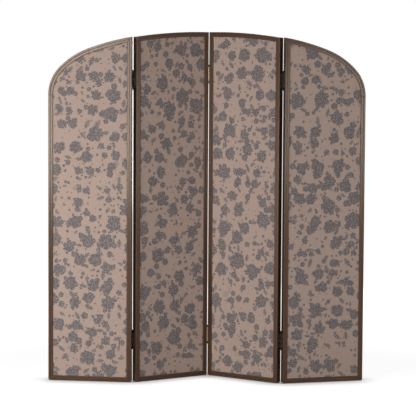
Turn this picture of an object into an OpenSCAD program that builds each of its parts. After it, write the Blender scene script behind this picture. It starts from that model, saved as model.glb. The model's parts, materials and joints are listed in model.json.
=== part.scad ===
// Four-panel folding room divider: arched wood frames, fabric infills and butt hinges.
// Millimetres, +Z up, the floor at z = 0 and the middle of the footprint at the origin.

/* [Screen] */
// Width of one panel
panel_w = 441; // [400:1:500]
// Height of the arch above the floor, at its crown
screen_h = 1829; // [1700:1:1980]
// Thickness of the frame, front to back
frame_t = 35; // [30:0.5:42]
// Width of a stile or rail, seen from the front
rail_face = 25; // [23:0.5:32]

/* [Fold] */
// Angle of panel 1 to the line of the screen, its left end to the back
fold_1 = 7.5; // [4:0.5:45]
// Angle of panel 2, its right end to the back
fold_2 = 33; // [10:0.5:45]
// Angle of panel 3, its left end to the back
fold_3 = 34.5; // [10:0.5:45]
// Angle of panel 4, its right end to the back
fold_4 = 15.5; // [4:0.5:45]

/* [Arch] */
// Radius of the arch over the two inner panels
crown_r = 2770; // [2500:10:3300]
// Steepness where the haunch passes into the shoulder, in degrees
haunch_end = 20; // [18:0.5:24]
// Radius of the upper part of the shoulder
shoulder_r = 413; // [340:1:470]
// Steepness where the shoulder tightens, in degrees
shoulder_end = 45; // [40:0.5:50]
// Radius of the lower part of the shoulder, where it meets the outer stile
end_r = 203; // [160:1:240]

/* [Moulding] */
// Width of the outer band of the face moulding
outer_band_w = 10.5; // [8:0.5:12]
// Width of the quirk between the two bands
quirk_w = 1.5; // [1:0.25:2.5]
// Depth of the quirk below the outer band
quirk_d = 2.25; // [2:0.25:3]
// Drop of the inner band below the outer band
band_drop = 1; // [0.5:0.25:1.5]
// Rounding of the outer edge
outer_round = 2; // [1:0.5:4]
// Rounding of the edges beside the quirk
quirk_round = 1; // [0.5:0.25:1.25]
// Rounding of the inner edge, beside the fabric
inner_round = 2.5; // [1.5:0.5:3]
// Radius of the bottom corners
corner_r = 10; // [8:0.5:14]

/* [Infill] */
// Width of the groove for the core board's tongue
groove_w = 9; // [6:0.5:10]
// Depth of that groove
groove_d = 8; // [5:0.5:9]
// Depth of the fabric's surface below the frame's face
fabric_recess = 5; // [4:0.5:7]
// Thickness of the fabric
fabric_t = 1; // [0.6:0.1:1.5]

/* [Joinery] */
// Diameter of a dowel
dowel_d = 6; // [4:0.5:6.5]
// Length of a dowel
dowel_l = 20; // [14:1:22]
// Distance of a dowel's centre from the frame's face
dowel_inset = 7; // [6:0.5:7.5]

/* [Hinges] */
// Height of a hinge leaf
leaf_h = 76; // [60:1:90]
// Width of leaf on the stile, from the stile's face
leaf_w = 22; // [18:0.5:24]
// Thickness of a leaf
leaf_t = 2; // [1.5:0.25:2.25]
// Space between neighbouring panels in line, and between their leaves
panel_gap = 1; // [0.5:0.25:3]
// Distance of a hinge's axis from the panels' faces
pivot_out = 0.5; // [0.25:0.25:2]
// Diameter of the barrel
barrel_d = 8; // [7.5:0.25:10]
// Diameter of the pin
pin_d = 4; // [3:0.25:4.5]
// Distance of a hinge's middle from the top or bottom of its stile
hinge_inset = 221; // [150:1:300]
// Height of a finial
finial_h = 15; // [13:0.5:18]
// Widest diameter of a finial
finial_d = 8.6; // [7.5:0.1:10]
// Diameter of a finial's neck
finial_neck_d = 6; // [5.4:0.1:6.8]
// Diameter of the button at a finial's end
finial_button_d = 3.4; // [2.6:0.1:4]
// Height of a finial's collar
finial_collar_h = 2; // [1.5:0.25:3]
// Depth that a pin reaches into its lower finial
cap_depth = 5; // [3:0.5:6]

/* [Screws] */
// Shank diameter of a hinge screw
screw_d = 3.5; // [3:0.25:4]
// Head diameter of a hinge screw
screw_head_d = 7; // [6:0.25:8]
// Length of a hinge screw
screw_l = 16; // [12:0.5:16]
// Distance between neighbouring screws of a leaf
screw_pitch = 26; // [18:1:28]
// Length of the cross recess in a screw's head
recess_l = 3.8; // [3:0.2:4.6]
// Width of that recess
recess_w = 0.9; // [0.6:0.1:1.2]
// Depth of that recess
recess_d = 1.2; // [0.8:0.1:1.4]

/* [Hidden] */

// Smoothness of small rounds and of the long arcs of the arch
round_fn = 48;
$fn = round_fn;
arc_fn = 720;
arc_sag = 0.05;

// Flats in a quarter turn of the moulding's widest rounding
round_flats = 8;

// Clearances
board_clear = 0.2;
dowel_clear = 0.1;
pilot_clear = 0.05;
leaf_hole_clear = 0.15;
leaf_clear = 0.2;
pin_fixed_clear = 0.02;
pin_running_clear = 0.06;
barrel_clear = 0.5;
knuckle_gap = 0.4;
end_clear = 0.5;

// Overlap of cuts with what they cut
over = 1;

wood_colour = "#5d4a3c";
board_colour = "#8a7355";
fabric_colour = "#9a877c";
dowel_colour = "#b79a72";
metal_colour = "#7b6a4c";
screw_colour = "#8f7c56";

// Hinge geometry that several pieces share. The leaves are let in flush with the stiles, and the
// barrels and finials lie in coves in the stiles' edges, so that the panels close up tightly.
barrel_r = barrel_d / 2;
pin_r = pin_d / 2;
cove_r = max(barrel_d, finial_d) / 2 + barrel_clear;
back_pivot_y = frame_t + pivot_out;
front_pivot_y = -pivot_out;
knuckles = 5;
knuckle_pitch = (leaf_h + knuckle_gap) / knuckles;
knuckle_h = knuckle_pitch - knuckle_gap;
screw_y = pivot_out + leaf_w / 2;

// Distances along the screen's face, measured from its middle with all panels in line
inner_start = panel_gap / 2;
inner_end = inner_start + panel_w;
outer_start = inner_end + panel_gap;
outer_end = outer_start + panel_w;

// The half arch is a chain of four tangent arcs. Its second radius follows from the others.
function compass(r, a) = [r * sin(a), r * cos(a)];
crown_end = asin(inner_end / crown_r);
haunch_r = (outer_end - inner_end - shoulder_r * (sin(shoulder_end) - sin(haunch_end))
            - end_r * (1 - sin(shoulder_end))) / (sin(haunch_end) - sin(crown_end));
crown_c = [0, screen_h - crown_r];
haunch_c = crown_c + compass(crown_r - haunch_r, crown_end);
shoulder_c = haunch_c + compass(haunch_r - shoulder_r, haunch_end);
end_c = shoulder_c + compass(shoulder_r - end_r, shoulder_end);

function is_outer(p) = p == 1 || p == 4;
function is_left(p) = p < 3;
function panel_start(p) = is_outer(p) ? outer_start : inner_start;

// Centre and radius of the arc that tops the stile next to the screen's middle,
// in a panel's own coordinates
function local(p, point) = point - [panel_start(p), 0];
function top_c(p) = local(p, is_outer(p) ? haunch_c : crown_c);
function top_r(p) = is_outer(p) ? haunch_r : crown_r;
function on_top(p, x, inset) =
  [x, top_c(p)[1] + sqrt(pow(top_r(p) - inset, 2) - pow(x - top_c(p)[0], 2))];
function arc_angle(p, x) = asin((x - top_c(p)[0]) / top_r(p));
function spring(p) = local(p, end_c);

// Outer and inner end of each mitre, as points in the panel's face
function foot_near(p) = [[0, 0], [rail_face, rail_face]];
function foot_far(p) = [[panel_w, 0], [panel_w - rail_face, rail_face]];
function head_near(p) = [on_top(p, 0, 0), on_top(p, rail_face, rail_face)];
function head_far(p) = is_outer(p)
  ? [spring(p) + [end_r, 0], spring(p) + [end_r - rail_face, 0]]
  : [on_top(p, panel_w, 0), on_top(p, panel_w - rail_face, rail_face)];
function haunch_joint(p) = [
  local(p, shoulder_c + compass(shoulder_r, haunch_end)),
  local(p, shoulder_c + compass(shoulder_r - rail_face, haunch_end))
];
function frame_joints(p) = concat(
  [foot_near(p), foot_far(p), head_near(p), head_far(p)],
  is_outer(p) ? [haunch_joint(p)] : []
);

// Heights of the middles of the hinges beside a panel
function hinge_top(is_middle) =
  is_middle ? on_top(3, 0, 0)[1] : min(on_top(3, panel_w, 0)[1], on_top(4, 0, 0)[1]);
function hinge_z(is_middle) = [hinge_inset, hinge_top(is_middle) - hinge_inset];

// Place of each panel in the set-up screen: heading, and the corner at its left, front and bottom
function along(a) = [cos(a), sin(a)];
function across(a) = [-sin(a), cos(a)];
function heading(p) = [-fold_1, fold_2, -fold_3, fold_4][p - 1];
function at(corner, a, x, y) = corner + x * along(a) + y * across(a);
far_x = panel_w + panel_gap / 2;
near_x = -panel_gap / 2;
corner_2 = [0, 0];
left_pivot = at(corner_2, heading(2), near_x, back_pivot_y);
corner_1 = at(left_pivot, heading(1), -far_x, -back_pivot_y);
middle_pivot = at(corner_2, heading(2), far_x, front_pivot_y);
corner_3 = at(middle_pivot, heading(3), -near_x, -front_pivot_y);
right_pivot = at(corner_3, heading(3), far_x, back_pivot_y);
corner_4 = at(right_pivot, heading(4), -near_x, -back_pivot_y);
corners = [corner_1, corner_2, corner_3, corner_4];

// The footprint's middle goes to the origin. Its edges are the rounded edges of the stiles.
edge_centres = [
  for (p = [1:4], x = [outer_round, panel_w - outer_round], y = [outer_round, frame_t - outer_round])
    at(corners[p - 1], heading(p), x, y)
];
edge_x = [for (e = edge_centres) e[0]];
edge_y = [for (e = edge_centres) e[1]];
middle = [min(edge_x) + max(edge_x), min(edge_y) + max(edge_y)] / 2;

// A panel's own coordinates: x from the stile next to the screen's middle, y from the front face
module on_panel(p) {
  translate(concat(corners[p - 1] - middle, 0))
    rotate([0, 0, heading(p)])
      if (is_left(p))
        translate([panel_w, 0, 0])
          mirror([1, 0, 0])
            children();
      else
        children();
}

// A flat shape in the panel's face, drawn in x and z, as a solid from y_low to y_high
module upright(y_low, y_high) {
  translate([0, y_high, 0])
    rotate([90, 0, 0])
      linear_extrude(y_high - y_low)
        children();
}

// Moulding

// Quarter turn about c as points, from an angle on. A small rounding has fewer of them.
function quarter(c, r, from) =
  let (flats = ceil(round_flats * sqrt(r / max(outer_round, inner_round))))
    [for (i = [0:flats]) c + r * [cos(from + i * 90 / flats), sin(from + i * 90 / flats)]];

// Front half of the section of stiles and rails, from the outer edge round to the groove:
// x from the outer edge, y from the front face
inner_band_x = outer_band_w + quirk_w;
groove_y = (frame_t - groove_w) / 2;
half_section = concat(
  quarter([outer_round, outer_round], outer_round, 180),
  quarter([outer_band_w - quirk_round, quirk_round], quirk_round, 270),
  [[outer_band_w, quirk_d], [inner_band_x, quirk_d]],
  quarter([inner_band_x + quirk_round, band_drop + quirk_round], quirk_round, 180),
  quarter([rail_face - inner_round, band_drop + inner_round], inner_round, 270),
  [[rail_face, groove_y], [rail_face - groove_d, groove_y]]
);

module section() {
  last = len(half_section) - 1;
  polygon(concat(
    half_section,
    [for (i = [last:-1:0]) [half_section[i][0], frame_t - half_section[i][1]]]
  ));
}

module upright_moulding(height) {
  linear_extrude(height)
    section();
}

module level_moulding() {
  translate([panel_w, 0, 0])
    rotate([0, -90, 0])
      linear_extrude(panel_w)
        section();
}

// Moulding bent to radius r, from the x axis through an angle, the outer edge outwards
module bent_moulding(r, angle) {
  rotate_extrude(angle = angle, $fn = arc_fn)
    translate([r, 0])
      mirror([1, 0])
        section();
}

// Children bent about the origin, set up about centre c. Their x axis goes to the given angle
// from the vertical.
module set_up(c, from_vertical) {
  translate([c[0], frame_t, c[1]])
    rotate([90, 0, 0])
      rotate([0, 0, 90 - from_vertical])
        children();
}

// Everything on one side of the line of a joint
module beside(joint, side) {
  reach = 4 * rail_face;
  d = (joint[1] - joint[0]) / norm(joint[1] - joint[0]);
  n = side * [-d[1], d[0]];
  low = joint[0] - reach * d;
  high = joint[1] + reach * d;
  upright(-over, frame_t + over)
    polygon([low, high, high + reach * n, low + reach * n]);
}

// What the round of a bottom corner takes away, for the corner at x = 0
module corner_waste() {
  translate([corner_r, 0, corner_r]) {
    upright(-over, frame_t + over)
      difference() {
        translate([-corner_r - over, -corner_r - over])
          square(corner_r + over);
        circle(corner_r);
      }
    for (back = [0, 1])
      translate([0, back * frame_t, 0])
        mirror([0, back, 0])
          rotate([90, 0, 0])
            mirror([0, 0, 1])
              rotate([0, 0, 180])
                rotate_extrude(angle = 90)
                  translate([corner_r - outer_round, 0])
                    polygon(concat(
                      quarter([0, outer_round], outer_round, 270),
                      [[outer_round + over, outer_round], [outer_round + over, -over], [0, -over]]
                    ));
  }
}

module foot_corners() {
  corner_waste();
  translate([panel_w, 0, 0])
    mirror([1, 0, 0])
      corner_waste();
}

// A panel's dowels, or with a clearance their holes
module dowel_set(p, clear, end) {
  for (joint = frame_joints(p), y = [dowel_inset, frame_t - dowel_inset]) {
    d = joint[1] - joint[0];
    c = (joint[0] + joint[1]) / 2;
    translate([c[0], y, c[1]])
      rotate([0, -atan2(d[1], d[0]), 0])
        cylinder(h = dowel_l + 2 * end, r = dowel_d / 2 + clear, center = true);
  }
}

module dowel_holes(p) {
  dowel_set(p, dowel_clear, end_clear);
}

// Places of the hinges, of the screws and of the screws' holes

// The middle pair's axis is in front of the panels, the others are behind them
function near_pivot_y(p) = is_outer(p) ? back_pivot_y : front_pivot_y;

// Children are drawn about a hinge's axis, with their panel on the +x side and its wood on the
// -y side. Near hinges are on the stile next to the screen's middle, far ones on the other stile.
module at_near_hinges(p) {
  for (z = hinge_z(!is_outer(p)))
    at_near_hinge(p, z)
      children();
}

module at_near_hinge(p, z) {
  translate([near_x, near_pivot_y(p), z])
    mirror([0, is_outer(p) ? 0 : 1, 0])
      children();
}

module at_far_hinges(p) {
  for (z = hinge_z(false))
    at_far_hinge(z)
      children();
}

module at_far_hinge(z) {
  translate([far_x, back_pivot_y, z])
    mirror([1, 0, 0])
      children();
}

module at_screws() {
  for (z = [-screw_pitch, 0, screw_pitch])
    translate([panel_gap / 2, -screw_y, z])
      rotate([0, 90, 0])
        children();
}

// What a hinge takes out of a stile: the leaf's recess, the cove and the screws' pilot holes
module hinge_room() {
  translate([0, -pivot_out - leaf_w - leaf_clear, -leaf_h / 2 - leaf_clear])
    cube([panel_gap / 2 + leaf_t, pivot_out + leaf_w + leaf_clear, leaf_h + 2 * leaf_clear]);
  cylinder(h = leaf_h + 2 * (finial_h + end_clear), r = cove_r, center = true);
  at_screws()
    cylinder(h = screw_l + end_clear, r = screw_d / 2 + pilot_clear);
}

module screw() {
  difference() {
    union() {
      cylinder(h = leaf_t, r1 = screw_head_d / 2, r2 = screw_d / 2);
      cylinder(h = screw_l, r = screw_d / 2);
    }
    for (a = [0, 90])
      rotate([0, 0, a])
        translate([-recess_l / 2, -recess_w / 2, -over])
          cube([recess_l, recess_w, recess_d + over]);
  }
}

module hinge_screws(p) {
  color(screw_colour)
    on_panel(p) {
      at_near_hinges(p)
        at_screws()
          screw();
      if (!is_outer(p))
        at_far_hinges(p)
          at_screws()
            screw();
    }
}

// Frame pieces

// The stile next to the screen's middle
module near_stile(p) {
  color(wood_colour)
    on_panel(p)
      difference() {
        upright_moulding(head_near(p)[0][1] + over);
        beside(foot_near(p), -1);
        beside(head_near(p), 1);
        foot_corners();
        dowel_holes(p);
        at_near_hinges(p)
          hinge_room();
      }
}

// The stile away from the screen's middle
module far_stile(p) {
  color(wood_colour)
    on_panel(p)
      difference() {
        translate([panel_w, 0, 0])
          mirror([1, 0, 0])
            upright_moulding(head_far(p)[0][1] + (is_outer(p) ? 0 : rail_face));
        beside(foot_far(p), 1);
        if (!is_outer(p))
          beside(head_far(p), -1);
        foot_corners();
        dowel_holes(p);
        if (!is_outer(p))
          at_far_hinges(p)
            hinge_room();
      }
}

module left_stile(p) {
  if (is_left(p))
    far_stile(p);
  else
    near_stile(p);
}

module right_stile(p) {
  if (is_left(p))
    near_stile(p);
  else
    far_stile(p);
}

module bottom_rail(p) {
  color(wood_colour)
    on_panel(p)
      difference() {
        level_moulding();
        beside(foot_near(p), 1);
        beside(foot_far(p), -1);
        foot_corners();
        dowel_holes(p);
      }
}

module top_rail(p) {
  from = arc_angle(p, -rail_face);
  to = is_outer(p) ? haunch_end : arc_angle(p, panel_w + rail_face);
  color(wood_colour)
    on_panel(p)
      difference() {
        set_up(top_c(p), to)
          bent_moulding(top_r(p), to - from);
        beside(head_near(p), -1);
        if (!is_outer(p))
          beside(head_far(p), 1);
        dowel_holes(p);
      }
}

module shoulder(p) {
  color(wood_colour)
    on_panel(p)
      difference() {
        set_up(spring(p), shoulder_end) {
          mirror([0, 1, 0])
            bent_moulding(end_r, 90 - shoulder_end);
          translate([end_r - shoulder_r, 0, 0])
            bent_moulding(shoulder_r, shoulder_end - haunch_end);
        }
        dowel_holes(p);
      }
}

module dowels(p) {
  color(dowel_colour)
    on_panel(p)
      dowel_set(p, 0, 0);
}

// Infill

// Points on an arc about c after its start, with angles from the vertical. They are close enough
// together for chords that leave the arc by no more than arc_sag.
function arc(c, r, from, to) =
  let (count = ceil((to - from) / (2 * acos(1 - arc_sag / r))))
    [for (i = [1:count]) c + compass(r, from + i * (to - from) / count)];

// The arcs that top a panel, a given distance in from its outer edge
function arch(p, inset, from) =
  let (r = top_r(p) - inset)
    is_outer(p)
      ? concat(
          arc(top_c(p), r, from, haunch_end),
          arc(local(p, shoulder_c), shoulder_r - inset, haunch_end, shoulder_end),
          arc(spring(p), end_r - inset, shoulder_end, 90)
        )
      : arc(top_c(p), r, from, asin((panel_w - inset - top_c(p)[0]) / r));

// The inside of a panel's frame, a given distance in from the panel's outer edge
module inside(p, inset) {
  from = asin((inset - top_c(p)[0]) / (top_r(p) - inset));
  polygon(concat(
    [[panel_w - inset, inset], [inset, inset], on_top(p, inset, inset)],
    arch(p, inset, from)
  ));
}

// Board that fills the frame between the two fabrics, with its tongue in the frame's groove
module core_board(p) {
  face_y = fabric_recess + fabric_t;
  tongue_y = groove_y + board_clear;
  color(board_colour)
    on_panel(p) {
      upright(face_y, frame_t - face_y)
        inside(p, rail_face + board_clear);
      upright(tongue_y, frame_t - tongue_y)
        inside(p, rail_face - groove_d + board_clear);
    }
}

module front_fabric(p) {
  color(fabric_colour)
    on_panel(p)
      upright(fabric_recess, fabric_recess + fabric_t)
        inside(p, rail_face + board_clear);
}

module back_fabric(p) {
  color(fabric_colour)
    on_panel(p)
      upright(frame_t - fabric_recess - fabric_t, frame_t - fabric_recess)
        inside(p, rail_face + board_clear);
}

// Hinges

function knuckle_z(i) = -leaf_h / 2 + i * knuckle_pitch;

// A leaf about the hinge's axis. Its knuckles are the even ones where it holds the pin, or the
// odd ones, which turn on the pin.
module leaf(holds_pin) {
  first = holds_pin ? 0 : 1;
  bore_r = pin_r + (holds_pin ? pin_fixed_clear : pin_running_clear);
  difference() {
    union() {
      translate([panel_gap / 2, -pivot_out - leaf_w, -leaf_h / 2])
        cube([leaf_t, pivot_out + leaf_w, leaf_h]);
      for (i = [first:2:knuckles - 1])
        translate([0, 0, knuckle_z(i)])
          cylinder(h = knuckle_h, r = barrel_r);
    }
    for (i = [1 - first:2:knuckles - 1])
      translate([0, 0, knuckle_z(i) - knuckle_gap])
        cylinder(h = knuckle_h + 2 * knuckle_gap, r = barrel_r + knuckle_gap);
    cylinder(h = leaf_h + 2 * over, r = bore_r, center = true);
    at_screws() {
      cylinder(h = leaf_t, r1 = screw_head_d / 2 + leaf_hole_clear, r2 = screw_d / 2 + leaf_hole_clear);
      cylinder(h = leaf_t + over, r = screw_d / 2 + leaf_hole_clear);
      translate([0, 0, -over])
        cylinder(h = over, r = screw_head_d / 2 + leaf_hole_clear);
    }
  }
}

// A leaf on the stile next to the screen's middle
module near_leaf(p, level, holds_pin) {
  color(metal_colour)
    on_panel(p)
      at_near_hinge(p, hinge_z(!is_outer(p))[level])
        leaf(holds_pin);
}

// A leaf on the other stile
module far_leaf(p, level, holds_pin) {
  color(metal_colour)
    on_panel(p)
      at_far_hinge(hinge_z(false)[level])
        leaf(holds_pin);
}

// Half outline of a finial, standing on z = 0: a collar, a neck, a ball and a button
module finial_outline() {
  r = finial_d / 2;
  button_r = finial_button_d / 2;
  ball_z = finial_h - r - button_r;
  intersection() {
    square([r, finial_h]);
    union() {
      square([r, finial_collar_h]);
      square([finial_neck_d / 2, ball_z]);
      translate([0, ball_z])
        circle(r);
      translate([0, finial_h - button_r])
        circle(button_r);
    }
  }
}

// Pin with its upper finial
module pin() {
  rotate_extrude() {
    translate([0, -leaf_h / 2 - cap_depth])
      square([pin_r, leaf_h + cap_depth]);
    translate([0, leaf_h / 2])
      finial_outline();
  }
}

// Lower finial, pushed on the end of the pin
module pin_cap() {
  rotate_extrude()
    translate([0, -leaf_h / 2])
      mirror([0, 1])
        difference() {
          finial_outline();
          translate([0, -over])
            square([pin_r + pin_fixed_clear, cap_depth + end_clear + over]);
        }
}

module near_pin(p, level) {
  color(metal_colour)
    on_panel(p)
      at_near_hinge(p, hinge_z(!is_outer(p))[level])
        pin();
}

module far_pin(p, level) {
  color(metal_colour)
    on_panel(p)
      at_far_hinge(hinge_z(false)[level])
        pin();
}

module near_caps(p) {
  color(metal_colour)
    on_panel(p)
      at_near_hinges(p)
        pin_cap();
}

module far_caps(p) {
  color(metal_colour)
    on_panel(p)
      at_far_hinges(p)
        pin_cap();
}

left_stile(1);  // panel_1_left_stile
right_stile(1);  // panel_1_right_stile
bottom_rail(1);  // panel_1_bottom_rail
top_rail(1);  // panel_1_top_rail
shoulder(1);  // panel_1_shoulder
core_board(1);  // panel_1_core_board
front_fabric(1);  // panel_1_front_fabric
back_fabric(1);  // panel_1_back_fabric
dowels(1);  // panel_1_dowels
hinge_screws(1);  // panel_1_hinge_screws

left_stile(2);  // panel_2_left_stile
right_stile(2);  // panel_2_right_stile
bottom_rail(2);  // panel_2_bottom_rail
top_rail(2);  // panel_2_top_rail
core_board(2);  // panel_2_core_board
front_fabric(2);  // panel_2_front_fabric
back_fabric(2);  // panel_2_back_fabric
dowels(2);  // panel_2_dowels
hinge_screws(2);  // panel_2_hinge_screws

left_stile(3);  // panel_3_left_stile
right_stile(3);  // panel_3_right_stile
bottom_rail(3);  // panel_3_bottom_rail
top_rail(3);  // panel_3_top_rail
core_board(3);  // panel_3_core_board
front_fabric(3);  // panel_3_front_fabric
back_fabric(3);  // panel_3_back_fabric
dowels(3);  // panel_3_dowels
hinge_screws(3);  // panel_3_hinge_screws

left_stile(4);  // panel_4_left_stile
right_stile(4);  // panel_4_right_stile
bottom_rail(4);  // panel_4_bottom_rail
top_rail(4);  // panel_4_top_rail
shoulder(4);  // panel_4_shoulder
core_board(4);  // panel_4_core_board
front_fabric(4);  // panel_4_front_fabric
back_fabric(4);  // panel_4_back_fabric
dowels(4);  // panel_4_dowels
hinge_screws(4);  // panel_4_hinge_screws

near_leaf(1, 1, false);  // left_upper_hinge_leaf_1
far_leaf(2, 1, true);  // left_upper_hinge_leaf_2
far_pin(2, 1);  // left_upper_hinge_pin
near_leaf(1, 0, false);  // left_lower_hinge_leaf_1
far_leaf(2, 0, true);  // left_lower_hinge_leaf_2
far_pin(2, 0);  // left_lower_hinge_pin
far_caps(2);  // left_hinge_pin_caps

near_leaf(2, 1, true);  // middle_upper_hinge_leaf_2
near_leaf(3, 1, false);  // middle_upper_hinge_leaf_3
near_pin(2, 1);  // middle_upper_hinge_pin
near_leaf(2, 0, true);  // middle_lower_hinge_leaf_2
near_leaf(3, 0, false);  // middle_lower_hinge_leaf_3
near_pin(2, 0);  // middle_lower_hinge_pin
near_caps(2);  // middle_hinge_pin_caps

far_leaf(3, 1, true);  // right_upper_hinge_leaf_3
near_leaf(4, 1, false);  // right_upper_hinge_leaf_4
far_pin(3, 1);  // right_upper_hinge_pin
far_leaf(3, 0, true);  // right_lower_hinge_leaf_3
near_leaf(4, 0, false);  // right_lower_hinge_leaf_4
far_pin(3, 0);  // right_lower_hinge_pin
far_caps(3);  // right_hinge_pin_caps
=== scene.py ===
# Four-panel wooden room divider: stained frames, printed linen infills and brass butt hinges.
import json
import math
from functools import reduce
from itertools import pairwise, product

import bmesh
import bpy
from bpy.props import FloatProperty, FloatVectorProperty, PointerProperty
from mathutils import Matrix, Vector, noise

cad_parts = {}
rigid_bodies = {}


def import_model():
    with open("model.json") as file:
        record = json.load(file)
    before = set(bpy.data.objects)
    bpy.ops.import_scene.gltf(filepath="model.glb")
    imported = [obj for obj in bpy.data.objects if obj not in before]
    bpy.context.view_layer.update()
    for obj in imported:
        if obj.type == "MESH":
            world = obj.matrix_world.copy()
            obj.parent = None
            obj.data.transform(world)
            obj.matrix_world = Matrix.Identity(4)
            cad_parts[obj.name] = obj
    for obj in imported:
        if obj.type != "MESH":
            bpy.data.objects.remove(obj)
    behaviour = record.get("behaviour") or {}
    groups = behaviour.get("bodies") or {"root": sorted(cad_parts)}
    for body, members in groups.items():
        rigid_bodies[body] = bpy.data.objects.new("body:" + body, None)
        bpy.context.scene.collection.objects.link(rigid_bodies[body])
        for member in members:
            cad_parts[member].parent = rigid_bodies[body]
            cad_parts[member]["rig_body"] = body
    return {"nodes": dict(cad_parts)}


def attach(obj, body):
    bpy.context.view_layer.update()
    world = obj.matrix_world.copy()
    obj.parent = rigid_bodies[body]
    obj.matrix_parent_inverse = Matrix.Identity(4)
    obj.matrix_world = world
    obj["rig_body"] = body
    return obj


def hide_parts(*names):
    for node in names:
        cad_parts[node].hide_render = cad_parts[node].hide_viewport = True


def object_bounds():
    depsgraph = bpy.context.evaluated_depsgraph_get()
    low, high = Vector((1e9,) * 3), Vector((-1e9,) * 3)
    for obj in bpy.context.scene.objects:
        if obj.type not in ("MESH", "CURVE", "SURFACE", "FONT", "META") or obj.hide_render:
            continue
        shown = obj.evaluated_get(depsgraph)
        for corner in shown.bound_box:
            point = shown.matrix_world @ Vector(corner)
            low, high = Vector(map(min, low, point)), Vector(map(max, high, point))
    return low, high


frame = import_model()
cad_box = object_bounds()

bl_info = {
    "name": "Folding Room Divider",
    "version": (1, 0, 0),
    "blender": (4, 5, 0),
    "location": "View3D > Sidebar > Room Divider",
    "description": "Dresses a four-panel room divider in stained wood, printed linen and brass",
    "category": "Object",
}

PANELS = (1, 2, 3, 4)
MEMBERS = ("left_stile", "right_stile", "bottom_rail", "top_rail", "shoulder")
HINGE_PIECES = ("hinge_leaf", "hinge_pin")

# Lengths are in metres and angles in radians.
SAME_POINT = 1e-6
EDGE_ANGLE = math.radians(40)
GROOVE_ANGLE = -0.6
END_CUT = 0.0015
CLOTH_EDGE_LINES = (0.0008, 0.002, 0.004)

# These move the grain on from member to member, and the print from panel to panel and side to side.
GRAIN_SHIFT = Vector((0.37, 0.21, 2.9))
PRINT_SHIFT = (0.613, 0.347)
PRINT_SIDE_SHIFT = 2.5

# Colour sockets of a Mix node, which has several sockets of each name.
MIX_FIRST, MIX_SECOND, MIX_RESULT = 6, 7, 2

# Shader groups made so far, each under the function that makes it.
GROUPS = {}


def colour(code):
    """Linear RGB of a colour written as hexadecimal sRGB."""
    parts = [int(code[i:i + 2], 16) / 255 for i in (1, 3, 5)]
    return [p / 12.92 if p < 0.04045 else ((p + 0.055) / 1.055) ** 2.4 for p in parts]


def tint(name, description, code):
    """A colour that the user can change."""
    return FloatVectorProperty(
        name=name, description=description, subtype="COLOR", size=3, min=0, max=1,
        default=colour(code),
    )


def length(name, description, metres, smallest, largest):
    """A length that the user can change."""
    return FloatProperty(
        name=name, description=description, unit="LENGTH", default=metres, min=smallest,
        max=largest,
    )


def power(name, description, watts):
    """A lamp's power that the user can change."""
    return FloatProperty(name=name, description=description, unit="POWER", default=watts, min=0)


class WoodFinish(bpy.types.PropertyGroup):
    """Stain and lacquer of the frames."""
    stain: tint("Stain", "Colour of the stained wood", "#533828")
    grain: tint("Grain", "Colour of the dark grain lines", "#2e1d13")
    worn: tint("Worn", "Colour where the stain is rubbed thin on the edges", "#6e513c")
    roughness: FloatProperty(
        name="Roughness", description="Roughness of the lacquer", default=0.24, min=0, max=1)


class LinenFinish(bpy.types.PropertyGroup):
    """Cloth and print of the infills."""
    ground: tint("Ground", "Colour of the cloth", "#b29b8f")
    motif: tint("Motif", "Colour of the printed flowers", "#646265")
    bloom: length("Bloom spacing", "Distance between neighbouring large flowers", 0.098, 0.06, 0.2)
    rose: length("Rose spacing", "Distance between neighbouring round flowers", 0.064, 0.04, 0.15)
    spray: length("Spray spacing", "Distance between neighbouring leaf sprays", 0.056, 0.03, 0.15)
    berry: length(
        "Berry spacing", "Distance between neighbouring buds and berries", 0.029, 0.02, 0.1)
    thread: length("Thread pitch", "Distance between neighbouring threads", 0.0011, 0.0004, 0.004)
    crown: length("Crown", "Height of the cloth's middle above its edges", 0.0012, 0, 0.005)
    thickness: length("Thickness", "Thickness of the cloth", 0.0007, 0.0003, 0.0012)
    mesh_pitch: length("Mesh pitch", "Distance between neighbouring mesh lines", 0.009, 0.004, 0.05)


class MetalFinish(bpy.types.PropertyGroup):
    """Finish of the hinges and screws."""
    brass: tint("Brass", "Colour of the rubbed brass", "#a08a6b")
    tarnish: tint("Tarnish", "Colour of the darkened brass", "#1c1611")


class StageSettings(bpy.types.PropertyGroup):
    """Lamps and background."""
    key_power: power("Key power", "Power of the lamp on the left", 43)
    side_power: power("Side power", "Power of the low lamp far to the left", 61)
    fill_power: power("Fill power", "Power of the lamp on the right", 20)
    rim_power: power("Rim power", "Power of the lamp far to the right", 13)
    crest_power: power("Crest power", "Power of the lamp whose sheen lies on the left arch", 29)
    back_power: power("Back power", "Power of the lamp behind the screen", 60)
    ambient: FloatProperty(
        name="Ambient", description="Strength of the light from all sides", default=0.04, min=0)


class Field:
    """A value that changes over the surface. Arithmetic on it makes the nodes that work it out."""

    def __init__(self, tree, socket):
        self.tree = tree
        self.socket = socket

    def math(self, operation, *others):
        return calculate(self.tree, operation, self, *others)

    def __add__(self, other):
        return self.math("ADD", other)

    def __radd__(self, other):
        return calculate(self.tree, "ADD", other, self)

    def __sub__(self, other):
        return self.math("SUBTRACT", other)

    def __rsub__(self, other):
        return calculate(self.tree, "SUBTRACT", other, self)

    def __mul__(self, other):
        return self.math("MULTIPLY", other)

    def __truediv__(self, other):
        return self.math("DIVIDE", other)

    def __abs__(self):
        return self.math("ABSOLUTE")


def calculate(tree, operation, *values):
    """A Math node on fields and numbers."""
    node = tree.nodes.new("ShaderNodeMath")
    node.operation = operation
    for socket, value in zip(node.inputs, values):
        feed(tree, socket, value)
    return Field(tree, node.outputs[0])


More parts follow.
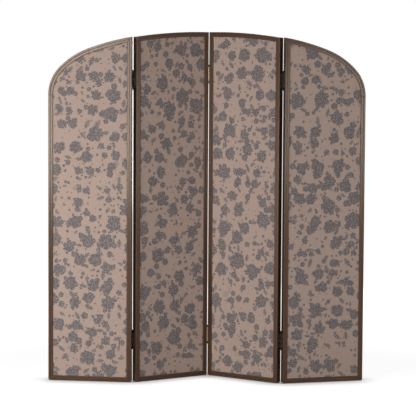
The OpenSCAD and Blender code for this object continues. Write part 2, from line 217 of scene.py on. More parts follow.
def feed(tree, socket, value):
    """Links a field or socket to an input, or sets the input's own value."""
    if isinstance(value, Field):
        value = value.socket
    if isinstance(value, bpy.types.NodeSocket):
        tree.links.new(value, socket)
    elif socket.type == "RGBA" and len(value) == 3:
        socket.default_value = (*value, 1)
    else:
        socket.default_value = value


def feed_all(tree, node, inputs):
    """Feeds the inputs of a node that a dictionary names."""
    for name, value in inputs.items():
        feed(tree, node.inputs[name], value)


def add_node(tree, kind, inputs=None, **settings):
    """A new node with its settings and inputs."""
    node = tree.nodes.new(kind)
    for name, value in settings.items():
        setattr(node, name, value)
    feed_all(tree, node, inputs or {})
    return node


def new_group(name, inputs, outputs):
    """An empty shader group with named sockets, and its input and output nodes."""
    group = bpy.data.node_groups.new(name, "ShaderNodeTree")
    for in_out, sockets in (("INPUT", inputs), ("OUTPUT", outputs)):
        for label, kind in sockets.items():
            group.interface.new_socket(label, in_out=in_out, socket_type="NodeSocket" + kind)
    return group, group.nodes.new("NodeGroupInput"), group.nodes.new("NodeGroupOutput")


def use_group(tree, make, inputs):
    """The shader group that a function makes, built once and placed in a material."""
    if make not in GROUPS:
        GROUPS[make] = make()
    return add_node(tree, "ShaderNodeGroup", inputs, node_tree=GROUPS[make])


def field(tree, node, name):
    """The value from a node's output."""
    return Field(tree, node.outputs[name])


def vector_math(tree, operation, inputs):
    """The vector from a Vector Math node."""
    return add_node(tree, "ShaderNodeVectorMath", inputs, operation=operation).outputs[0]


def step(value, low, high):
    """Rises smoothly from 0 at low to 1 at high, or falls where high is the smaller."""
    node = add_node(
        value.tree, "ShaderNodeMapRange", {"Value": value, "From Min": low, "From Max": high},
        interpolation_type="SMOOTHSTEP")
    return field(value.tree, node, "Result")


def mix(tree, factor, first, second):
    """A colour between two colours."""
    node = add_node(
        tree, "ShaderNodeMix", {"Factor": factor, MIX_FIRST: first, MIX_SECOND: second},
        data_type="RGBA")
    return node.outputs[MIX_RESULT]


def speckle(tree, vector, scale, detail=2, roughness=0.5, dimensions="3D"):
    """A noise between 0 and 1. Its scale is one number, or one for each axis."""
    if isinstance(scale, tuple):
        vector = vector_math(tree, "MULTIPLY", {0: vector, 1: scale})
        scale = 1
    node = add_node(
        tree, "ShaderNodeTexNoise",
        {"Vector": vector, "Scale": scale, "Detail": detail, "Roughness": roughness},
        noise_dimensions=dimensions,
    )
    return field(tree, node, "Fac")


def wood_grain_group():
    """Stained wood: broad figure, fibres and pores along the third axis of its coordinates."""
    group, given, result = new_group(
        "Wood Grain",
        {"Coordinates": "Vector", "Stain": "Color", "Grain": "Color"},
        {"Color": "Color", "Height": "Float", "Fibre": "Float"},
    )
    figure_scale = (38, 38, 1.6)
    fibre_scale = (420, 420, 9)
    pore_scale = (1500, 1500, 45)
    place = given.outputs["Coordinates"]
    figure = speckle(group, place, figure_scale, detail=3, roughness=0.6)
    fibre = speckle(group, place, fibre_scale, detail=3, roughness=0.6)
    pores = step(speckle(group, place, pore_scale, detail=1), 0.6, 0.72)
    dark = step(figure, 0.42, 0.75) * 0.55 + step(fibre, 0.45, 0.8) * 0.45
    toned = mix(group, dark, given.outputs["Stain"], given.outputs["Grain"])
    pored = mix(group, pores * 0.35, toned, given.outputs["Grain"])
    feed_all(group, result, {
        "Color": pored, "Height": fibre * 0.6 - pores * 0.4, "Fibre": fibre})
    return group


def edge_wear_and_groove_shade_group():
    """Lightens the rounded edges in patches with wear, and darkens the quirks of a moulding with
    painted shade.
    """
    group, given, result = new_group(
        "Edge Wear and Groove Shade",
        {"Color": "Color", "Worn": "Color", "Edge": "Float", "Coordinates": "Vector",
         "Wear": "Float", "Groove Shade": "Float"},
        {"Color": "Color"},
    )
    # Near-black brown of the painted shade in the grooves.
    groove_shade_colour = colour("#140d09")
    patches = speckle(group, given.outputs["Coordinates"], 55, detail=4, roughness=0.65)
    edge = field(group, given, "Edge")
    rubbed = step(edge, 0.35, 1.0) * step(patches, 0.38, 0.68) * field(group, given, "Wear")
    # Painted shade: the grooves and quirks of the moulding are darkened.
    groove_shade = step(edge, -0.05, -0.6) * field(group, given, "Groove Shade")
    lighter = mix(group, rubbed, given.outputs["Color"], given.outputs["Worn"])
    feed_all(group, result, {"Color": mix(group, groove_shade, lighter, groove_shade_colour)})
    return group


def polar(group, place, origin):
    """Distance and direction of a place from an origin, and how far across and along it lies."""
    offset = vector_math(group, "SUBTRACT", {0: place, 1: origin})
    parts = add_node(group, "ShaderNodeSeparateXYZ", {0: offset})
    across, along = field(group, parts, "X"), field(group, parts, "Y")
    radius = (across * across + along * along).math("SQRT")
    return radius, along.math("ARCTAN2", across), across, along


def scatter(group, place, randomness):
    """Cells with a flower each: its middle, its free radius and three random numbers."""
    inputs = {"Vector": place, "Scale": 1.0, "Randomness": randomness}
    cell = add_node(group, "ShaderNodeTexVoronoi", inputs, voronoi_dimensions="2D")
    room = add_node(
        group, "ShaderNodeTexVoronoi", inputs, voronoi_dimensions="2D", feature="N_SPHERE_RADIUS")
    chance = add_node(group, "ShaderNodeSeparateColor", {0: cell.outputs["Color"]})
    randoms = [field(group, chance, name) for name in ("Red", "Green", "Blue")]
    return cell.outputs["Position"], field(group, room, "Radius"), randoms


def cells(group, cloth, pitch, randomness):
    """Cloth coordinates in cells of a pitch, with what scatter and polar say of the place."""
    place = vector_math(group, "SCALE", {0: cloth, "Scale": pitch.math("POWER", -1)})
    middle, room, chance = scatter(group, place, randomness)
    return room, chance, polar(group, place, middle)


def lobes(angle, turn, count):
    """Waves round a flower, from 0 between its petals to 1 in their middles."""
    return abs(((angle + turn) * (count / 2)).math("SINE"))


def bloom(radius, angle, size, turn, petals, softness):
    """An open flower: rounded petals with short gaps between them and a broken ring."""
    notch = 0.24
    gap_start, gap_end = 0.7, 0.6
    ring_radius, ring_width = 0.34, 0.04
    wave = lobes(angle, turn, petals)
    rim = size * (wave.math("POWER", 0.5) * notch + (1 - notch))
    body = step(radius - rim, softness, -softness)
    gap = step(wave, 0.03, 0.14).math("MAXIMUM", step(radius, size * gap_start, size * gap_end))
    ring = step(abs(radius - size * ring_radius) - size * ring_width, 0, softness)
    broken = ring.math("MAXIMUM", step(lobes(angle, turn, petals * 2), 0.45, 0.6))
    return body * gap * broken


def leaf_wreath(radius, angle, inner, outer, turn, leaves, softness):
    """Round leaves with a fine vein that stand out along one side of a flower."""
    wave = lobes(angle, turn, leaves)
    side = step((angle + turn * 3).math("COSINE"), -0.35, 0.25)
    reach = inner + (outer - inner) * wave.math("POWER", 0.6) * side
    start = inner * 0.92
    outside = step(radius, start, start + softness)
    vein = step(wave, 0.999, 0.996)
    return step(radius - reach, softness, -softness) * outside * vein


def spray(across, along, turn, reach, softness):
    """A stalk with slanting leaflets on both sides."""
    slant = 0.8
    cosine, sine = turn.math("COSINE"), turn.math("SINE")
    run = across * cosine + along * sine
    side = abs(along * cosine - across * sine)
    pitch = reach * 0.42
    share = ((run - side * slant) / pitch).math("FRACT")
    narrowing = (1 - (run / reach).math("POWER", 2)).math("MAXIMUM", 0)
    leaflet = (share * math.pi).math("SINE") * narrowing * reach * 0.55
    leaflets = step(side - leaflet, softness, -softness) * step(side, 0.0, reach * 0.05)
    stalk = step(side, reach * 0.06, reach * 0.03) * step(abs(run), reach, reach * 0.92)
    return leaflets.math("MAXIMUM", stalk)


def in_most_cells(chance, bare):
    """1 in the cells that carry a flower, and 0 in the share of them that stays bare."""
    return step(chance, bare, bare + 0.01)


def bloom_layer(group, cloth, pitch):
    """Large open flowers, each with leaves along one side."""
    softness = 0.01
    room, chance, (radius, angle, _, _) = cells(group, cloth, pitch, randomness=0.75)
    free = room.math("MINIMUM", 0.52)
    size = free * (0.52 + chance[2] * 0.26)
    flower = bloom(radius, angle, size, chance[0] * math.tau, 6, softness)
    leaves = leaf_wreath(radius, angle, size * 0.96, free, chance[1] * math.tau, 7, softness)
    return flower.math("MAXIMUM", leaves)


def rose_layer(group, cloth, pitch):
    """Smaller round flowers, in cells of their own."""
    softness = 0.014
    moved = vector_math(group, "ADD", {0: cloth, 1: (7.3, 4.1, 0)})
    room, chance, (radius, angle, _, _) = cells(group, moved, pitch, randomness=0.9)
    size = room.math("MINIMUM", 0.42) * (0.5 + chance[2] * 0.25)
    rose = bloom(radius, angle, size, chance[0] * math.tau, 5, softness)
    return rose * in_most_cells(chance[1], bare=0.22)


def spray_layer(group, cloth, pitch):
    """Stalks with leaflets, turned every way."""
    softness = 0.018
    room, chance, (radius, _, across, along) = cells(group, cloth, pitch, randomness=0.85)
    reach = room.math("MINIMUM", 0.55)
    leaflets = spray(across, along, chance[0] * math.tau, reach, softness)
    sprays = leaflets * in_most_cells(chance[1], bare=0.3)
    return sprays * step(radius, reach, reach * 0.97)


def berry_layer(group, cloth, pitch):
    """Buds and berries with three faint lobes."""
    softness = 0.03
    room, chance, (radius, angle, _, _) = cells(group, cloth, pitch, randomness=0.95)
    size = room.math("MINIMUM", 0.4) * (0.3 + chance[2] * 0.45)
    wave = lobes(angle, chance[0] * math.tau, 3)
    berry = step(radius - size * (0.75 + wave * 0.25), softness, -softness)
    return berry * in_most_cells(chance[1], bare=0.45)


def flower_print_group():
    """Silhouettes of open flowers with leaves, of round flowers, sprays, buds and berries."""
    layers = {
        "Bloom": bloom_layer, "Rose": rose_layer, "Spray": spray_layer, "Berry": berry_layer}
    pitches = {name: "Float" for name in layers}
    group, given, result = new_group(
        "Flower Print", {"Cloth": "Vector", **pitches}, {"Mask": "Float"})
    cloth = given.outputs["Cloth"]
    masks = [make(group, cloth, field(group, given, name)) for name, make in layers.items()]
    mask = reduce(lambda lower, upper: lower.math("MAXIMUM", upper), masks)
    flecks = step(speckle(group, cloth, 190, dimensions="2D"), 0.56, 0.62)
    feed_all(group, result, {"Mask": mask * (1 - flecks * 0.7)})
    return group


def linen_group():
    """Plain weave with uneven threads, on cloth coordinates in metres."""
    group, given, result = new_group(
        "Linen Weave", {"Cloth": "Vector", "Pitch": "Float"}, {"Tone": "Float", "Height": "Float"})
    cloth = given.outputs["Cloth"]
    pitch = field(group, given, "Pitch")
    warp_slubs = speckle(group, cloth, (850, 22, 1), dimensions="2D")
    weft_slubs = speckle(group, cloth, (22, 850, 1), dimensions="2D")
    slubs = warp_slubs + weft_slubs
    patches = speckle(group, cloth, 110, detail=3, roughness=0.6, dimensions="2D")
    parts = add_node(group, "ShaderNodeSeparateXYZ", {0: cloth})
    across, along = field(group, parts, "X"), field(group, parts, "Y")
    warp = abs((across / pitch * math.pi).math("SINE"))
    weft = abs((along / pitch * math.pi).math("SINE"))
    feed_all(group, result, {
        "Tone": slubs * 0.5 + (patches - 0.5) * 0.5, "Height": warp * weft + slubs * 0.5})
    return group


def tarnish_group():
    """Darkened metal with rubbed patches."""
    group, given, result = new_group(
        "Tarnish",
        {"Coordinates": "Vector", "Metal": "Color", "Tarnish": "Color", "Amount": "Float"},
        {"Color": "Color", "Mask": "Float"},
    )
    spots = speckle(group, given.outputs["Coordinates"], 160, detail=4, roughness=0.65)
    mask = (step(spots, 0.3, 0.7) * field(group, given, "Amount")).math("MINIMUM", 1)
    toned = mix(group, mask, given.outputs["Metal"], given.outputs["Tarnish"])
    feed_all(group, result, {"Color": toned, "Mask": mask})
    return group


def new_material(name):
    """A material with its node tree and its Principled shader."""
    material = bpy.data.materials.new(name)
    material.use_nodes = True
    return material, material.node_tree, material.node_tree.nodes["Principled BSDF"]


def object_place(tree):
    """Object coordinates, in metres."""
    return add_node(tree, "ShaderNodeTexCoord").outputs["Object"]


def bump(tree, height, distance, strength):
    """The normal of a surface with a fine relief."""
    node = add_node(
        tree, "ShaderNodeBump", {"Height": height, "Distance": distance, "Strength": strength})
    return node.outputs["Normal"]


def wood_material(finish):
    """Stained and lacquered wood, on the grain and edge attributes of a member."""
    material, tree, shader = new_material("Stained wood")
    grain = add_node(tree, "ShaderNodeAttribute", attribute_name="grain").outputs["Vector"]
    edge = add_node(tree, "ShaderNodeAttribute", attribute_name="edge").outputs["Fac"]
    wood = use_group(tree, wood_grain_group, {
        "Coordinates": grain, "Stain": finish.stain, "Grain": finish.grain})
    # Wear lightens the rounded edges in patches; the grooves are darkened with painted shade at a
    # strength of 0.6.
    worn = use_group(tree, edge_wear_and_groove_shade_group, {
        "Color": wood.outputs["Color"], "Worn": finish.worn, "Edge": edge, "Coordinates": grain,
        "Wear": 0.5, "Groove Shade": 0.6})
    fibre = field(tree, wood, "Fibre")
    feed_all(tree, shader, {
        "Base Color": worn.outputs["Color"],
        "Roughness": finish.roughness + (fibre - 0.5) * 0.15,
        "Specular IOR Level": 0.29,
        "Specular Tint": (1, 0.88, 0.75),
        "Normal": bump(tree, wood.outputs["Height"], distance=0.0002, strength=0.2),
    })
    return material


def linen_material(finish):
    """Undyed linen with a grey print, whose outlines follow the uneven threads."""
    material, tree, shader = new_material("Printed linen")
    cloth = add_node(tree, "ShaderNodeUVMap", uv_map="cloth").outputs["UV"]
    weave = use_group(tree, linen_group, {"Cloth": cloth, "Pitch": finish.thread})
    wobble = add_node(tree, "ShaderNodeTexNoise", {"Vector": cloth, "Scale": 140.0, "Detail": 2.0})
    shift = vector_math(tree, "SUBTRACT", {0: wobble.outputs["Color"], 1: (0.5, 0.5, 0.5)})
    nudge = vector_math(tree, "SCALE", {0: shift, "Scale": 0.009})
    uneven = vector_math(tree, "ADD", {0: cloth, 1: nudge})
    flowers = use_group(tree, flower_print_group, {
        "Cloth": uneven, "Bloom": finish.bloom, "Rose": finish.rose, "Spray": finish.spray,
        "Berry": finish.berry})
    tone = field(tree, weave, "Tone")
    inked = field(tree, flowers, "Mask") * step(tone, 0.0, 0.5)
    printed = mix(tree, inked, finish.ground, finish.motif)
    woven = add_node(tree, "ShaderNodeHueSaturation", {
        "Value": 0.75 + tone * 0.5, "Color": printed})
    feed_all(tree, shader, {
        "Base Color": woven.outputs["Color"],
        "Roughness": 0.9,
        "Specular IOR Level": 0.2,
        "Sheen Weight": 0.08,
        "Normal": bump(tree, weave.outputs["Height"], distance=0.0003, strength=0.4),
    })
    return material


def metal_material(name, finish, amount, roughness):
    """Brass under an amount of tarnish, with fine scratches."""
    material, tree, shader = new_material(name)
    place = object_place(tree)
    patina = use_group(tree, tarnish_group, {
        "Coordinates": place, "Metal": finish.brass, "Tarnish": finish.tarnish, "Amount": amount})
    mask = field(tree, patina, "Mask")
    scratches = speckle(tree, place, (900, 900, 120))
    feed_all(tree, shader, {
        "Base Color": patina.outputs["Color"],
        "Metallic": 0.6 - mask * 0.5,
        "Roughness": roughness + mask * 0.3,
        "Normal": bump(tree, scratches, distance=0.0001, strength=0.25),
    })
    return material


def board_material():
    """Pressed wood fibre with flakes of two tones."""
    material, tree, shader = new_material("Softboard")
    flakes = speckle(tree, object_place(tree), 180, detail=4, roughness=0.7)
    feed_all(tree, shader, {
        "Base Color": mix(tree, flakes, colour("#6b5538"), colour("#a68b63")),
        "Roughness": 0.9,
        "Normal": bump(tree, flakes, distance=0.0005, strength=0.6),
    })
    return material


def dowel_material():
    """Plain beech with short flecks."""
    material, tree, shader = new_material("Beech dowel")
    flecks = speckle(tree, object_place(tree), (500, 500, 160), detail=3, roughness=0.6)
    feed_all(tree, shader, {
        "Base Color": mix(tree, flecks, colour("#9c7d54"), colour("#c9ad82")),
        "Roughness": 0.7,
        "Normal": bump(tree, flecks, distance=0.0002, strength=0.4),
    })
    return material


def body_of_node(node):
    """Name of the body that a CAD node rides on."""
    return frame["nodes"][node]["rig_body"]


def put_in_scene(name, data):
    """An object in the scene with its data."""
    thing = bpy.data.objects.new(name, data)
    bpy.context.scene.collection.objects.link(thing)
    return thing


def mesh_object(name, shape, material):
    """An object with a material, from a bmesh that is used up."""
    mesh = bpy.data.meshes.new(name)
    shape.to_mesh(mesh)
    shape.free()
    mesh.materials.append(material)
    return put_in_scene(name, mesh)


def new_piece(name, shape, material, body):
    """A finished piece at the origin, riding on its body."""
    piece = mesh_object(name, shape, material)
    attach(piece, body)
    return piece


def merged_copy(node):
    """The shape of a CAD node with its loose triangles joined, as a bmesh."""
    shape = bmesh.new()
    shape.from_mesh(frame["nodes"][node].data)
    bmesh.ops.remove_doubles(shape, verts=shape.verts, dist=SAME_POINT)
    return shape


def smooth_shading(piece):
    """Smooth faces with sharp edges kept, and normals that follow the large faces."""
    piece.data.shade_smooth()
    piece.data.set_sharp_from_angle(angle=EDGE_ANGLE)
    weighted = piece.modifiers.new("Weighted normals", "WEIGHTED_NORMAL")
    weighted.keep_sharp = True


def panel_turn(panel):
    """Rotation of a panel about the vertical, from the face of its front fabric."""
    mesh = frame["nodes"][f"panel_{panel}_front_fabric"].data
    fronts = [face for face in mesh.polygons if face.normal.y < -0.5]
    face = max(fronts, key=lambda f: f.area)
    return Matrix.Rotation(math.atan2(face.normal.x, -face.normal.y), 4, "Z")


def straight_grain(shape, panel, number):
    """Maps a point to (across, depth, along) a member, along its longest run."""
    to_panel = panel_turn(panel).inverted()
    points = [to_panel @ v.co for v in shape.verts]
    low = min(points, key=lambda p: p.x + p.z)
    high = max(points, key=lambda p: p.x + p.z)
    falling_low = min(points, key=lambda p: p.x - p.z)
    falling_high = max(points, key=lambda p: p.x - p.z)
    rising = (high - low).length > (falling_high - falling_low).length
    run = high - low if rising else falling_high - falling_low
    lean = math.atan2(run.x, run.z)
    to_member = (
        Matrix.Translation(GRAIN_SHIFT * number) @ Matrix.Rotation(-lean, 4, "Y") @ to_panel)
    return lambda point: to_member @ point


def bent_grain(panel, number):
    """Maps a point to (across, depth, along) the arch of an outer panel."""
    outline = Outline(panel, "front")
    to_panel = outline.turn.inverted()
    rim = [Vector(point) for point in outline.rim]
    middles = [(before + after) / 2 for before, after in pairwise(rim)]
    runs = [0]
    for before, after in pairwise(rim):
        runs.append(runs[-1] + (after - before).length)

    def place(point):
        local = to_panel @ point
        here = Vector((local.x, local.z))
        nearest = min(range(len(middles)), key=lambda i: (here - middles[i]).length)
        direction = (rim[nearest + 1] - rim[nearest]).normalized()
        offset = here - rim[nearest]
        across = direction.x * offset.y - direction.y * offset.x
        along = runs[nearest] + offset.dot(direction)
        return Vector((across, local.y, along)) + GRAIN_SHIFT * number

    return place


def edge_value(vertex, facing):
    """Near 1 on a rounded edge, -1 in a groove and 0 on a flat face."""
    angles = [e.calc_face_angle_signed(0) for e in vertex.link_edges if len(e.link_faces) == 2]
    if min(angles, default=0) < GROOVE_ANGLE:
        return -1
    depth = vertex.normal.dot(facing)
    return 2 * abs(depth) * math.sqrt(max(0, 1 - depth * depth))


def score_ends(shape, panel, member):
    """Cuts round a member close to both ends, so that no mark there spreads along its faces."""
    left, right, down, up = (-1, 0, 0), (1, 0, 0), (0, 0, -1), (0, 0, 1)
    inward = right if panel == 1 else left
    ends = {"bottom_rail": (left, right), "top_rail": (left, right), "shoulder": (down, inward)}
    for way in ends.get(member, (down, up)):
        outward = panel_turn(panel) @ Vector(way)
        end = max(shape.faces, key=lambda f: f.normal.dot(outward) * f.calc_area())
        bmesh.ops.bisect_plane(
            shape, geom=[*shape.verts, *shape.edges, *shape.faces], dist=SAME_POINT,
            plane_co=end.calc_center_median() - end.normal * END_CUT, plane_no=end.normal)


def dress_member(panel, member, number, material):
    """A stile, rail or shoulder with grain along it, its edges marked for wear and its grooves for
    painted shade.
    """
    node = f"panel_{panel}_{member}"
    if node not in frame["nodes"]:
        return
    shape = merged_copy(node)
    bent = member == "shoulder"
    to_member = bent_grain(panel, number) if bent else straight_grain(shape, panel, number)
    facing = panel_turn(panel) @ Vector((0, -1, 0))
    score_ends(shape, panel, member)
    shape.normal_update()
    grain_layer = shape.verts.layers.float_vector.new("grain")
    edge_layer = shape.verts.layers.float.new("edge")
    for vertex in shape.verts:
        vertex[grain_layer] = to_member(vertex.co)
        vertex[edge_layer] = edge_value(vertex, facing)
    piece = new_piece(f"{node}_wood", shape, material, body_of_node(node))
    smooth_shading(piece)
    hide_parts(node)


def upper_rim(points):
    """The points on the upper edge of a convex outline, from points sorted by x."""
    rim = []
    for x, z in points:
        while len(rim) > 1 and (rim[-1][0] - rim[-2][0]) * (z - rim[-2][1]) >= (
                rim[-1][1] - rim[-2][1]) * (x - rim[-2][0]):
            rim.pop()
        if rim and x - rim[-1][0] < SAME_POINT:
            rim.pop()
        rim.append((x, z))
    return rim


class Outline:
    """The flat outline of a panel's cloth, in the panel's own axes."""

    def __init__(self, panel, side):
        node = f"panel_{panel}_{side}_fabric"
        self.turn = panel_turn(panel)
        to_panel = self.turn.inverted()
        points = [to_panel @ v.co for v in frame["nodes"][node].data.vertices]
        self.left = min(p.x for p in points)
        self.right = max(p.x for p in points)
        self.bottom = min(p.z for p in points)
        self.face = min(p.y for p in points) if side == "front" else max(p.y for p in points)
        self.outward = -1 if side == "front" else 1
        self.rim = upper_rim(sorted((p.x, p.z) for p in points))

    def top(self, x):
        """Height of the outline's upper edge at x."""
        before = self.rim[0]
        for after in self.rim[1:]:
            if x <= after[0]:
                share = (x - before[0]) / (after[0] - before[0])
                return before[1] + share * (after[1] - before[1])
            before = after
        return before[1]

    def area(self):
        """Area of the outline, as a sum of narrow strips."""
        total = 0
        for before, after in pairwise(self.rim):
            total += (after[0] - before[0]) * ((before[1] + after[1]) / 2 - self.bottom)
        return total

    def edge_distance(self, x, z):
        """Rough distance of a point from the nearest edge."""
        near = 0.002
        rise = self.top(min(x + near, self.right)) - self.top(max(x - near, self.left))
        slope = rise / (2 * near)
        below_top = (self.top(x) - z) / math.sqrt(1 + slope * slope)
        return min(x - self.left, self.right - x, z - self.bottom, below_top)


def even_steps(low, high, pitch, closest):
    """Places from low to high at an even pitch, with some more close to both ends."""
    count = max(2, round((high - low) / pitch))
    inner = [low + (high - low) * i / count for i in range(1, count)]
    near = [d for d in closest if d < pitch * 0.8]
    return [low, *(low + d for d in near), *inner, *(high - d for d in reversed(near)), high]


def cloth_height(outline, x, z, crown):
    """Height of the cloth over its plane: drawn down at the edges, with faint pulls."""
    roll_width, swell_width, pull_width = 0.003, 0.05, 0.02
    distance = max(0, outline.edge_distance(x, z))
    rolled = 1 - math.exp(-distance / roll_width)
    swell = 1 - math.exp(-distance / swell_width)
    near_edge = math.exp(-distance / pull_width)
    long_pulls = noise.noise(Vector((x * 9, z * 4, outline.face * 50))) * 0.25
    edge_pulls = noise.noise(Vector((x * 45, z * 45, 3.1))) * 0.3 * near_edge
    return crown * (0.55 * rolled + 0.45 * swell + long_pulls * swell + edge_pulls * rolled)


def stretch_cloth(panel, side, material, finish):
    """A sheet of linen over the core board, closed and thin, with its print on a UV map."""
    outline = Outline(panel, side)
    columns = even_steps(outline.left, outline.right, finish.mesh_pitch, CLOTH_EDGE_LINES)
    tallest = max(z for _, z in outline.rim)
    height = tallest - outline.bottom
    rows = [r / height for r in even_steps(0, height, finish.mesh_pitch, CLOTH_EDGE_LINES)]
    shift_across = panel * PRINT_SHIFT[0]
    shift_up = panel * PRINT_SHIFT[1] + outline.outward * PRINT_SIDE_SHIFT
    sheet = bmesh.new()
    across, upward = len(columns) - 1, len(rows) - 1
    bmesh.ops.create_grid(sheet, x_segments=across, y_segments=upward, size=0.5)
    cloth = sheet.loops.layers.uv.new("cloth")
    spots = {}
    for vertex in sheet.verts:
        x = columns[round((vertex.co.x + 0.5) * across)]
        share = rows[round((vertex.co.y + 0.5) * upward)]
        z = outline.bottom + share * (outline.top(x) - outline.bottom)
        spots[vertex] = (x, z)
        y = outline.face + outline.outward * cloth_height(outline, x, z, finish.crown)
        vertex.co = outline.turn @ Vector((x, y, z))
    for face in sheet.faces:
        for loop in face.loops:
            x, z = spots[loop.vert]
            loop[cloth].uv = (x + shift_across, z + shift_up)
    bmesh.ops.recalc_face_normals(sheet, faces=sheet.faces)
    outward = outline.turn @ Vector((0, outline.outward, 0))
    if sheet.faces[0].normal.dot(outward) < 0:
        bmesh.ops.reverse_faces(sheet, faces=sheet.faces)
    node = f"panel_{panel}_{side}_fabric"
    piece = new_piece(f"panel_{panel}_{side}_linen", sheet, material, body_of_node(node))
    piece.data.shade_smooth()
    wall = piece.modifiers.new("Thickness", "SOLIDIFY")
    wall.thickness = finish.thickness
    wall.offset = -1
    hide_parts(node)


def dress_metal(node, material):
    """A hinge piece or a set of screws with smooth turned surfaces."""
    piece = new_piece(f"{node}_metal", merged_copy(node), material, body_of_node(node))
    smooth_shading(piece)
    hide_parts(node)


def plain_finish(node, material):
    """A CAD node that stays, with its material."""
    slots = frame["nodes"][node].data.materials
    slots.clear()
    slots.append(material)


class DIVIDER_OT_frames(bpy.types.Operator):
    """Stiles, rails and shoulders of all the panels"""
    bl_idname = "divider.frames"
    bl_label = "Wooden Frames"

    def execute(self, context):
        material = wood_material(context.scene.divider_wood)
        for number, (panel, member) in enumerate(product(PANELS, MEMBERS), 1):
            dress_member(panel, member, number, material)
        return {"FINISHED"}


class DIVIDER_OT_infills(bpy.types.Operator):
    """Printed linen on the front and back of each panel"""
    bl_idname = "divider.infills"
    bl_label = "Linen Infills"

    def execute(self, context):
        finish = context.scene.divider_linen
        material = linen_material(finish)
        for panel, side in product(PANELS, ("front", "back")):
            stretch_cloth(panel, side, material, finish)
        return {"FINISHED"}


class DIVIDER_OT_boards(bpy.types.Operator):
    """Core boards and dowels inside the panels"""
    bl_idname = "divider.boards"
    bl_label = "Boards and Dowels"

    def execute(self, context):
        board = board_material()
        dowel = dowel_material()
        for panel in PANELS:
            plain_finish(f"panel_{panel}_core_board", board)
            plain_finish(f"panel_{panel}_dowels", dowel)
        return {"FINISHED"}


class DIVIDER_OT_hinges(bpy.types.Operator):
    """Leaves, pins and finials of the hinges, and their screws"""
    bl_idname = "divider.hinges"
    bl_label = "Hinges and Screws"

    def execute(self, context):
        finish = context.scene.divider_metal
        brass = metal_material("Aged brass", finish, amount=0.45, roughness=0.35)
        # The heavy tarnish of this second brass is painted shade: the pins with their finials and
        # the leaves of the outer hinges take it.
        dark = metal_material("Brass with painted shade", finish, amount=2.6, roughness=0.4)
        screw = metal_material("Aged brass screw", finish, amount=0.5, roughness=0.3)
        for node in sorted(frame["nodes"]):
            if any(part in node for part in HINGE_PIECES):
                # Only the middle hinge's leaves, which stand in the light, keep the lit brass;
                # everything else gets the brass with painted shade.
                rubbed = node.startswith("middle") and "leaf" in node
                dress_metal(node, brass if rubbed else dark)
            elif node.endswith("_screws"):
                dress_metal(node, screw)
        return {"FINISHED"}


def white_where_seen(tree):
    """1 for rays from the camera, a mirror or glass, and 0 for light that falls on the object."""
    path = add_node(tree, "ShaderNodeLightPath")
    seen = field(tree, path, "Is Camera Ray")
    for ray in ("Is Glossy Ray", "Is Transmission Ray"):
        seen = seen.math("MAXIMUM", field(tree, path, ray))
    return seen


def white_world(ambient):
    """A background that looks white and lights the object at the ambient strength."""
    world = bpy.data.worlds.new("White studio")
    world.use_nodes = True
    bpy.context.scene.world = world
    tree = world.node_tree
    seen = white_where_seen(tree)
    feed_all(tree, tree.nodes["Background"], {
        "Color": (1, 1, 1), "Strength": ambient + seen * (1 - ambient)})


def floor_material():
    """White floor that keeps the object's shadow, with a painted contact shadow where ambient
    occlusion darkens its glow near the object, and that meets the background unseen.
    """
    fade_start, fade_end = 1.2, 2.4
    shaded_glow = 0.85
    contact_reach, contact_depth = 0.12, 1.5
    material, tree, _ = new_material("White floor")
    tree.nodes.clear()
    distance = add_node(
        tree, "ShaderNodeVectorMath", {0: object_place(tree)}, operation="LENGTH")
    far = step(field(tree, distance, "Value"), fade_start, fade_end)
    # Painted contact shadow: ambient occlusion darkens the floor's glow close to the object.
    contact_occlusion = add_node(tree, "ShaderNodeAmbientOcclusion", {"Distance": contact_reach})
    painted_contact_shadow = field(tree, contact_occlusion, "AO").math("POWER", contact_depth)
    strength = (shaded_glow + far * (1 - shaded_glow)) * painted_contact_shadow * white_where_seen(tree)
    diffuse = add_node(tree, "ShaderNodeBsdfDiffuse", {"Color": (0.45, 0.45, 0.45)})
    glow = add_node(tree, "ShaderNodeEmission", {"Color": (1, 1, 1), "Strength": strength})
    total = add_node(tree, "ShaderNodeAddShader", {0: diffuse.outputs[0], 1: glow.outputs[0]})
    add_node(tree, "ShaderNodeOutputMaterial", {"Surface": total.outputs[0]})
    return material


def lay_floor():
    """A wide floor a hair below the object."""
    half_width = 30
    drop = 0.0003
    shape = bmesh.new()
    bmesh.ops.create_grid(shape, x_segments=1, y_segments=1, size=half_width)
    floor = mesh_object("floor", shape, floor_material())
    floor.location.z = cad_box[0][2] - drop


def place_lamp(name, at, target, size, watts, sheen_only=False):
    """A rectangular lamp that faces a point. It may give a sheen and no other light."""
    lamp = bpy.data.lights.new(name, "AREA")
    lamp.shape = "RECTANGLE"
    lamp.size, lamp.size_y = size
    lamp.energy = watts
    holder = put_in_scene(name, lamp)
    holder.location = at
    holder.visible_diffuse = not sheen_only
    aim = Vector(target) - Vector(at)
    holder.rotation_euler = aim.to_track_quat("-Z", "Y").to_euler()


def place_camera():
    """The camera of the photograph: far off, a little right of the middle, at eye height."""
    focal_pixels = 1626.27
    image_width = 416
    place = (0.0471, -8.5285, 1.4788)
    yaw, pitch, roll = math.radians(-0.2716), math.radians(3.8518), math.radians(0.3444)
    camera = bpy.data.cameras.new("camera")
    camera.sensor_width = 36
    camera.lens = focal_pixels * camera.sensor_width / image_width
    camera.clip_end = 100
    holder = put_in_scene("camera", camera)
    holder.location = place
    turned = Matrix.Rotation(-yaw, 4, "Z") @ Matrix.Rotation(math.pi / 2 - pitch, 4, "X")
    rolled = turned @ Matrix.Rotation(roll, 4, "Z")
    holder.rotation_euler = rolled.to_euler()
    bpy.context.scene.camera = holder


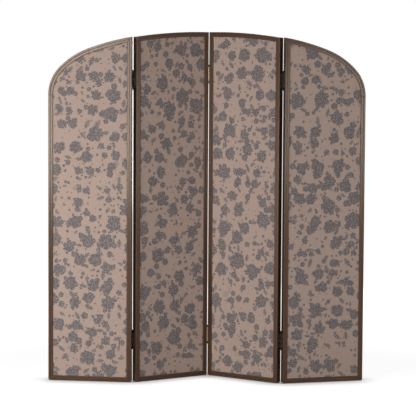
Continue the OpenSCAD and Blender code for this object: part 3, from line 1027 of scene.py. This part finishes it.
class DIVIDER_OT_stage(bpy.types.Operator):
    """White floor and background, lamps and the camera"""
    bl_idname = "divider.stage"
    bl_label = "Stage"

    def execute(self, context):
        settings = context.scene.divider_stage
        white_world(settings.ambient)
        lay_floor()
        place_lamp("key", (-1.78, -3.3, 1.2), (-0.6, 0, 1.0), (0.8, 0.8), settings.key_power)
        place_lamp("side", (-2.9, -2.5, 0.8), (0, 0, 0.8), (1.0, 1.0), settings.side_power)
        place_lamp("fill", (2.45, -2.7, 1.3), (0.6, 0, 1.1), (0.4, 0.9), settings.fill_power)
        place_lamp("rim", (2.9, -2.1, 1.2), (0, 0, 1.0), (0.4, 1.1), settings.rim_power)
        place_lamp(
            "crest", (-1.78, -3.3, 1.95), (-0.6, 0, 1.6), (0.8, 0.5), settings.crest_power,
            sheen_only=True)
        place_lamp("back", (0.8, 4.2, 1.5), (0, 0, 0.9), (1.8, 1.8), settings.back_power)
        place_camera()
        context.scene.view_settings.view_transform = "Standard"
        return {"FINISHED"}


OPERATORS = (
    DIVIDER_OT_frames, DIVIDER_OT_infills, DIVIDER_OT_boards, DIVIDER_OT_hinges, DIVIDER_OT_stage,
)
SETTINGS = {
    "divider_wood": WoodFinish,
    "divider_linen": LinenFinish,
    "divider_metal": MetalFinish,
    "divider_stage": StageSettings,
}


class VIEW3D_PT_divider(bpy.types.Panel):
    """Sizes, colours and steps of the room divider"""
    bl_label = "Room Divider"
    bl_space_type = "VIEW_3D"
    bl_region_type = "UI"
    bl_category = "Room Divider"

    def draw(self, context):
        for name, group in SETTINGS.items():
            box = self.layout.box()
            box.label(text=group.__doc__)
            for prop in group.__annotations__:
                box.prop(getattr(context.scene, name), prop)
        for operator in OPERATORS:
            self.layout.operator(operator.bl_idname)


CLASSES = (*SETTINGS.values(), *OPERATORS, VIEW3D_PT_divider)


def register():
    for cls in CLASSES:
        bpy.utils.register_class(cls)
    for name, group in SETTINGS.items():
        setattr(bpy.types.Scene, name, PointerProperty(type=group))


def unregister():
    for name in SETTINGS:
        delattr(bpy.types.Scene, name)
    for cls in reversed(CLASSES):
        bpy.utils.unregister_class(cls)


def main():
    register()
    bpy.ops.divider.frames()
    bpy.ops.divider.infills()
    bpy.ops.divider.boards()
    bpy.ops.divider.hinges()
    bpy.ops.divider.stage()


if __name__ == "__main__":
    main()
